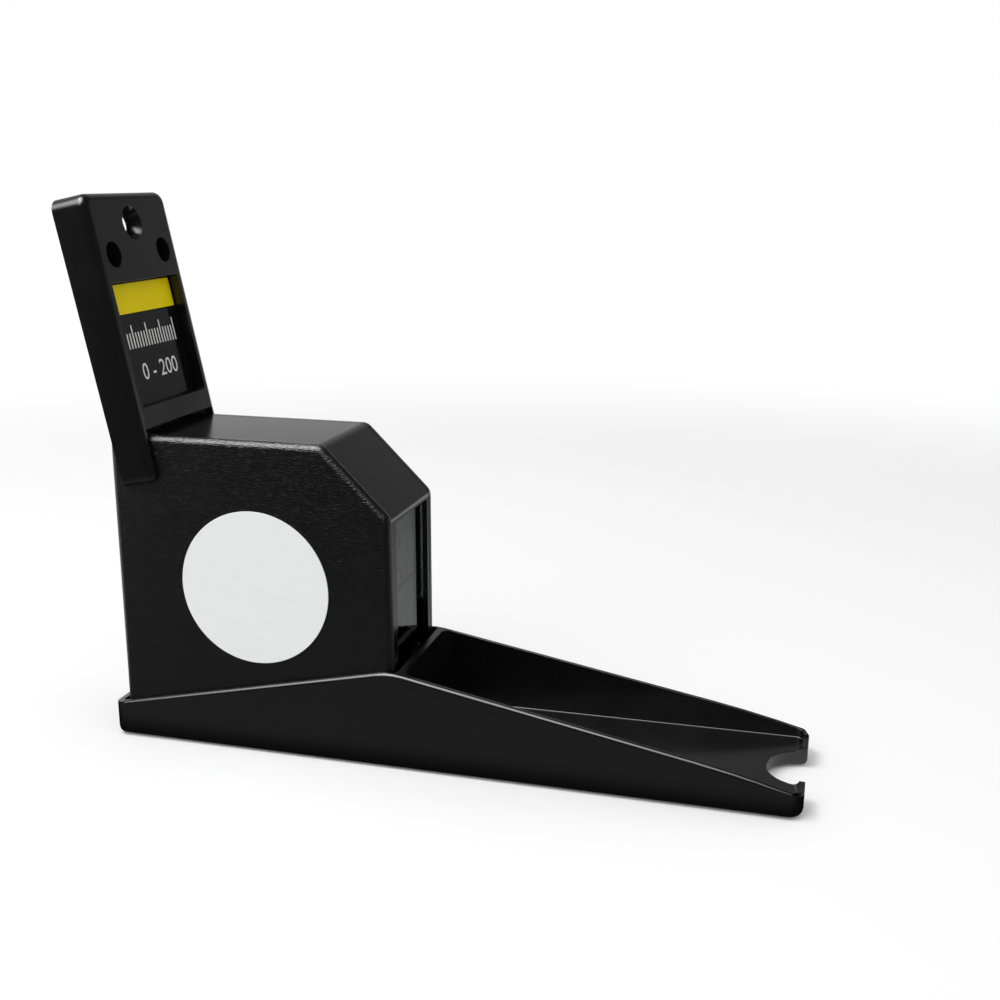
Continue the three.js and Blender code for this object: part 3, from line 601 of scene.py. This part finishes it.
def moulded(name, source, material, edge, body):
    """Stands for a CAD node: the same solid, with flat faces joined, edge radii and smooth fillets."""
    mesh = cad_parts[source].data.copy()
    mesh.materials.clear()
    mesh.materials.append(material)
    if source == "foot":
        tighten_tray(mesh)
    piece = linked(name, mesh)
    work = bmesh.new()
    work.from_mesh(mesh)
    bmesh.ops.remove_doubles(work, verts=work.verts, dist=SAME_PLACE)
    bmesh.ops.dissolve_limit(work, angle_limit=FLAT_ANGLE, verts=work.verts, edges=work.edges)
    if source == "foot":
        weigh_rim(work, edge)
    work.to_mesh(mesh)
    work.free()
    if "custom_normal" in mesh.attributes:
        mesh.attributes.remove(mesh.attributes["custom_normal"])
    shade(piece, 40)
    if source == "foot":
        round_edges(piece, edge, 4, "WEIGHT")
    else:
        round_edges(piece, edge)
    return carried(piece, body, [source])


def round_edges(piece, edge, segments=2, limit="ANGLE"):
    """A radius in millimetres on the sharp edges, or by their weights, with flat faces kept flat."""
    soften = piece.modifiers.new("edge_radius", "BEVEL")
    soften.width = edge * MM
    soften.segments = segments
    soften.limit_method = limit
    soften.angle_limit = SHARP_ANGLE
    soften.use_clamp_overlap = limit == "ANGLE"
    soften.harden_normals = False
    level = piece.modifiers.new("flat_faces", "WEIGHTED_NORMAL")
    level.keep_sharp = True
    level.weight = 80


moulded("foot_moulding", "foot", SATIN, 0.85, "head_unit")
moulded("housing_moulding", "housing_shell", GRAINED, 0.18, "head_unit")
moulded("cover_moulding", "side_cover", GRAINED, 0.18, "head_unit")
moulded("bracket_moulding", "bracket_shell", SATIN, 0.2, "wall_bracket")


# Label: a thin round film on the near side

def label_disc():
    steps = 128
    outer, inner = -HOUSING_HALF_WIDTH - LABEL_THICKNESS, -HOUSING_HALF_WIDTH
    rim = []
    for y in (inner, outer):
        rim += [(LABEL_X + LABEL_RADIUS * cos(2 * pi * i / steps), y,
                 LABEL_Z + LABEL_RADIUS * sin(2 * pi * i / steps)) for i in range(steps)]
    walls = [(i, (i + 1) % steps, steps + (i + 1) % steps, steps + i) for i in range(steps)]
    ends = [tuple(range(steps)), tuple(range(steps, 2 * steps))]
    disc = dressed("label_film", rim, walls + ends, LABEL)
    round_edges(disc, 0.07)
    carried(disc, "head_unit", ["side_label"])


label_disc()


# Tape: a spiral of one strip on the reel, and a straight band of many rows

def spiral_tree():
    """One strip wound as a spiral about Y, from its inner end to its outer end at the reel's rear."""
    tree, start, end = tree_with("wound_strip", {
        "Inner Radius": "NodeSocketFloat", "Outer Radius": "NodeSocketFloat", "Turns": "NodeSocketFloat",
        "Width": "NodeSocketFloat", "Thickness": "NodeSocketFloat", "Place": "NodeSocketVector",
        "Finish": "NodeSocketMaterial",
    })
    line = node(tree, "GeometryNodeCurveSpiral", {
        "Resolution": 72, "Rotations": start["Turns"], "Start Radius": start["Inner Radius"],
        "End Radius": start["Outer Radius"], "Height": 0.0, "Reverse": True,
    })[0]
    section = node(tree, "GeometryNodeCurvePrimitiveQuadrilateral", {
        "Width": start["Thickness"], "Height": start["Width"],
    })[0]
    strip = node(tree, "GeometryNodeCurveToMesh", {
        "Curve": line, "Profile Curve": section, "Fill Caps": True,
    })[0]
    turned = node(tree, "GeometryNodeTransform", {
        "Geometry": strip, "Translation": start["Place"], "Rotation": (pi / 2, pi / 2, 0.0),
    })[0]
    real = node(tree, "GeometryNodeRealizeInstances", {0: turned})[0]
    done = node(tree, "GeometryNodeSetMaterial", {"Geometry": real, "Material": start["Finish"]})[0]
    tree.links.new(done, end.inputs[0])
    return tree


def wound_tape():
    middle = COIL_RADIUS - TAPE_THICKNESS / 2
    inner = middle - TAPE_TURNS * TAPE_THICKNESS
    roll = grown("tape_roll", [(0, 0, 0)], spiral_tree(), {
        "Inner Radius": inner * MM, "Outer Radius": middle * MM, "Turns": TAPE_TURNS,
        "Width": TAPE_WIDTH * MM, "Thickness": (TAPE_THICKNESS - TURN_GAP) * MM,
        "Place": (REEL_X * MM, 0.0, REEL_Z * MM), "Finish": WOUND_TAPE,
    }, WOUND_TAPE)
    carried(roll, "tape_reel", ["tape_coil"])


def tape_band():
    rows = 48
    half, skin = TAPE_WIDTH / 2, TAPE_THICKNESS / 2
    points = []
    for i in range(rows + 1):
        z = TAPE_LOW + (TAPE_HIGH - TAPE_LOW) * i / rows
        points += [(-skin, -half, z), (skin, -half, z), (skin, half, z), (-skin, half, z)]
    faces = [(0, 3, 2, 1), tuple(4 * rows + j for j in range(4))]
    for i in range(rows):
        low, high = 4 * i, 4 * i + 4
        faces += [(low + j, low + (j + 1) % 4, high + (j + 1) % 4, high + j) for j in range(4)]
    band = dressed("tape_band", points, faces, STRAIGHT_TAPE)
    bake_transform(band)
    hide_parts("tape_stretch")


wound_tape()
tape_band()


# Figures: plain numbers as thin printed shapes

def figures(text, height):
    """Flat outlines of a number, centred on the origin, as a bmesh in millimetres."""
    letters = bpy.data.curves.new("figures", "FONT")
    letters.body = text
    letters.resolution_u = 3
    holder = linked("figures", letters)
    graph = bpy.context.evaluated_depsgraph_get()
    mesh = bpy.data.meshes.new_from_object(holder.evaluated_get(graph))
    bpy.data.objects.remove(holder)
    work = bmesh.new()
    work.from_mesh(mesh)
    bpy.data.meshes.remove(mesh)
    bmesh.ops.remove_doubles(work, verts=work.verts, dist=1e-5)
    low = Vector([min(v.co[i] for v in work.verts) for i in range(2)] + [0])
    high = Vector([max(v.co[i] for v in work.verts) for i in range(2)] + [0])
    factor = height / (high.y - low.y)
    for vertex in work.verts:
        vertex.co = (vertex.co - (low + high) / 2) * factor
    return work


def coil_figures():
    """Centimetre numbers on the outer turn: 200 at the reading line, and the lower ones above it."""
    whole = bmesh.new()
    height, cuts, proud = 6.4, 6, 0.04
    for step in range(16):
        work = figures(str(200 - step), height)
        for i in range(1, cuts):
            level = height * (i / cuts - 0.5)
            cut_across(work, (0, level, 0), (0, 1, 0))
        for vertex in work.verts:
            angle = (10 * step + vertex.co.y) / COIL_RADIUS
            lag = ((angle - pi) % (2 * pi)) / (2 * pi)
            radius = COIL_RADIUS - TAPE_THICKNESS * lag + proud
            x, z = REEL_X + radius * cos(angle), REEL_Z + radius * sin(angle)
            vertex.co = Vector((x, vertex.co.x, z)) * MM
        kept = bpy.data.meshes.new("number")
        work.to_mesh(kept)
        work.free()
        whole.from_mesh(kept)
        bpy.data.meshes.remove(kept)
    mesh = bpy.data.meshes.new("coil_numbers")
    whole.to_mesh(mesh)
    whole.free()
    numbers = linked("coil_numbers", mesh)
    mesh.materials.append(BLACK_INK)
    carried(numbers, "tape_reel")


def plate_figures():
    """A plain range of numbers on the bracket's plate, ranged right."""
    height, right_end, along = 3.9, 8.7, 24.6
    work = figures("0 - 200", height)
    right = max(v.co.x for v in work.verts)
    for vertex in work.verts:
        across = right_end - right + vertex.co.x
        vertex.co = Vector(on_bracket(PLATE_FRONT + 0.03, across, along + vertex.co.y)) * MM
    mesh = bpy.data.meshes.new("plate_numbers")
    work.to_mesh(mesh)
    work.free()
    numbers = linked("plate_numbers", mesh)
    mesh.materials.append(WHITE_INK)
    carried(numbers, "wall_bracket")


coil_figures()
plate_figures()


# Ticks on the plate: a printed scale of bars, every fifth one longer

def scale_tree():
    """A bar at every point, from its foot upwards along the leaning plate."""
    tree, start, end = tree_with("printed_scale", {
        "Long Tick": "NodeSocketFloat", "Short Tick": "NodeSocketFloat", "Line Width": "NodeSocketFloat",
        "Ink": "NodeSocketFloat", "Lean": "NodeSocketFloat", "Finish": "NodeSocketMaterial",
    })
    order = node(tree, "GeometryNodeInputIndex")[0]
    rest = node(tree, "ShaderNodeMath", {0: order, 1: 5.0}, operation="MODULO")[0]
    is_long = node(tree, "ShaderNodeMath", {0: rest, 1: 0.5}, operation="LESS_THAN")[0]
    length = node(tree, "ShaderNodeMix", {0: is_long, 2: start["Short Tick"], 3: start["Long Tick"]})[0]
    size = node(tree, "ShaderNodeCombineXYZ", {0: start["Ink"], 1: start["Line Width"], 2: length})[0]
    bar = node(tree, "GeometryNodeMeshCube", {"Size": (1.0, 1.0, 1.0)})[0]
    raised = node(tree, "GeometryNodeTransform", {"Geometry": bar, "Translation": (0.0, 0.0, 0.5)})[0]
    tilt = node(tree, "ShaderNodeMath", {0: start["Lean"], 1: -1.0}, operation="MULTIPLY")[0]
    turn = node(tree, "ShaderNodeCombineXYZ", {1: tilt})[0]
    bars = node(tree, "GeometryNodeInstanceOnPoints", {
        "Points": start["Geometry"], "Instance": raised, "Rotation": turn, "Scale": size,
    })[0]
    real = node(tree, "GeometryNodeRealizeInstances", {0: bars})[0]
    done = node(tree, "GeometryNodeSetMaterial", {"Geometry": real, "Material": start["Finish"]})[0]
    tree.links.new(done, end.inputs[0])
    return tree


def plate_scale():
    count, first, span, along = 21, -13.6, 24.6, 30.2
    points = []
    for i in range(count):
        across = first + span * i / (count - 1)
        points.append(Vector(on_bracket(PLATE_FRONT + 0.02, across, along)) * MM)
    scale = grown("plate_scale", points, scale_tree(), {
        "Long Tick": 5.4 * MM, "Short Tick": 3.6 * MM, "Line Width": 0.42 * MM, "Ink": 0.04 * MM,
        "Lean": LEAN, "Finish": WHITE_INK,
    }, WHITE_INK)
    carried(scale, "wall_bracket")


plate_scale()


# Screws: one head with its cross recess and shank, set at every place

def screw_tree():
    """Screws along an axis: a domed head cut by a cross, on a plain shank."""
    tree, start, end = tree_with("cross_screw", {
        "Head Radius": "NodeSocketFloat", "Head Height": "NodeSocketFloat", "Dome": "NodeSocketFloat",
        "Cone": "NodeSocketFloat", "Shank Radius": "NodeSocketFloat", "Shank Length": "NodeSocketFloat",
        "Turn": "NodeSocketVector", "Finish": "NodeSocketMaterial",
    })
    half = node(tree, "ShaderNodeMath", {0: start["Head Height"], 1: 0.5}, operation="MULTIPLY")[0]
    lift = node(tree, "ShaderNodeCombineXYZ", {2: half})[0]
    blank = node(tree, "GeometryNodeMeshCylinder", {
        "Vertices": 40, "Side Segments": 2, "Fill Segments": 5, "Radius": start["Head Radius"],
        "Depth": start["Head Height"],
    }, fill_type="TRIANGLE_FAN")["Mesh"]
    blank = node(tree, "GeometryNodeTransform", {"Geometry": blank, "Translation": lift})[0]
    spot = node(tree, "GeometryNodeInputPosition")[0]
    x, y, z = node(tree, "ShaderNodeSeparateXYZ", {0: spot})
    level = node(tree, "ShaderNodeMath", {0: z, 1: start["Head Height"]}, operation="DIVIDE")[0]
    flat = node(tree, "ShaderNodeCombineXYZ", {0: x, 1: y})[0]
    out = node(tree, "ShaderNodeVectorMath", {0: flat}, operation="LENGTH")["Value"]
    share = node(tree, "ShaderNodeMath", {0: out, 1: start["Head Radius"]}, operation="DIVIDE")[0]
    fall = node(tree, "ShaderNodeMath", {0: share, 1: 2.0}, operation="POWER")[0]
    drop = node(tree, "ShaderNodeMath", {0: fall, 1: start["Dome"]}, operation="MULTIPLY")[0]
    drop = node(tree, "ShaderNodeMath", {0: drop, 1: level}, operation="MULTIPLY")[0]
    down = node(tree, "ShaderNodeMath", {0: drop, 1: -1.0}, operation="MULTIPLY")[0]
    below = node(tree, "ShaderNodeMath", {0: 1.0, 1: level}, operation="SUBTRACT")[0]
    draw_in = node(tree, "ShaderNodeMath", {0: below, 1: start["Cone"]}, operation="MULTIPLY")[0]
    draw_in = node(tree, "ShaderNodeMath", {0: draw_in, 1: -1.0}, operation="MULTIPLY")[0]
    inward = node(tree, "ShaderNodeVectorMath", {0: flat, "Scale": draw_in}, operation="SCALE")[0]
    sink = node(tree, "ShaderNodeCombineXYZ", {2: down})[0]
    shift = node(tree, "ShaderNodeVectorMath", {0: inward, 1: sink})[0]
    head = node(tree, "GeometryNodeSetPosition", {"Geometry": blank, "Offset": shift})[0]
    arm = node(tree, "ShaderNodeMath", {0: start["Head Radius"], 1: 1.15}, operation="MULTIPLY")[0]
    slot = node(tree, "ShaderNodeMath", {0: start["Head Radius"], 1: 0.26}, operation="MULTIPLY")[0]
    above = node(tree, "ShaderNodeCombineXYZ", {2: start["Head Height"]})[0]
    bars = []
    for first, second in ((arm, slot), (slot, arm)):
        size = node(tree, "ShaderNodeCombineXYZ", {0: first, 1: second, 2: start["Head Height"]})[0]
        bar = node(tree, "GeometryNodeMeshCube", {"Size": size})[0]
        bars.append(node(tree, "GeometryNodeTransform", {"Geometry": bar, "Translation": above})[0])
    recessed = head
    for bar in bars:
        recessed = node(tree, "GeometryNodeMeshBoolean", {"Mesh 1": recessed, "Mesh 2": bar},
                        operation="DIFFERENCE", solver="EXACT")[0]
    behind = node(tree, "ShaderNodeMath", {0: start["Shank Length"], 1: -0.5}, operation="MULTIPLY")[0]
    shank = node(tree, "GeometryNodeMeshCylinder", {
        "Vertices": 24, "Radius": start["Shank Radius"], "Depth": start["Shank Length"],
    })["Mesh"]
    behind = node(tree, "ShaderNodeCombineXYZ", {2: behind})[0]
    shank = node(tree, "GeometryNodeTransform", {"Geometry": shank, "Translation": behind})[0]
    whole = tree.nodes.new("GeometryNodeJoinGeometry")
    tree.links.new(recessed, whole.inputs[0])
    tree.links.new(shank, whole.inputs[0])
    screws = node(tree, "GeometryNodeInstanceOnPoints", {
        "Points": start["Geometry"], "Instance": whole.outputs[0], "Rotation": start["Turn"],
    })[0]
    real = node(tree, "GeometryNodeRealizeInstances", {0: screws})[0]
    done = node(tree, "GeometryNodeSetMaterial", {"Geometry": real, "Material": start["Finish"]})[0]
    tree.links.new(done, end.inputs[0])
    return tree


SCREW = screw_tree()
cover_screws = grown("cover_screws", [(x * MM, 14.0 * MM, z * MM) for x, z in COVER_SCREWS], SCREW, {
    "Head Radius": 1.7 * MM, "Head Height": 1.0 * MM, "Dome": 0.35 * MM, "Cone": 0.0,
    "Shank Radius": 0.8 * MM, "Shank Length": 11.0 * MM, "Turn": (-pi / 2, 0.4, 0.0), "Finish": ZINC,
}, ZINC)
carried(cover_screws, "head_unit", [f"cover_screw_{i}" for i in range(1, 5)])
foot_screws = grown("foot_screws", [(x * MM, 0, 2.1 * MM) for x in FOOT_SCREWS], SCREW, {
    "Head Radius": 2.8 * MM, "Head Height": 1.7 * MM, "Dome": 0.0, "Cone": 0.607,
    "Shank Radius": 1.1 * MM, "Shank Length": 6.9 * MM, "Turn": (pi, 0.0, 0.3), "Finish": ZINC,
}, ZINC)
carried(foot_screws, "head_unit", ["foot_screw_1", "foot_screw_2"])

# The frame's own pieces that stay get their finish
for name, material in {
    "window_lens": LENS, "reading_line": RED_INK, "reel_arbor": BRIGHT_STEEL,
    "power_spring": BLUED_STEEL, "reel_drum": NYLON, "reel_flange": NYLON,
    "tape_end_loop": STRAIGHT_TAPE, "loop_pin": BRIGHT_STEEL, "marking_plate": PLATE,
    "level_strip": YELLOW,
}.items():
    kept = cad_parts[name]
    kept.data.materials.clear()
    kept.data.materials.append(material)
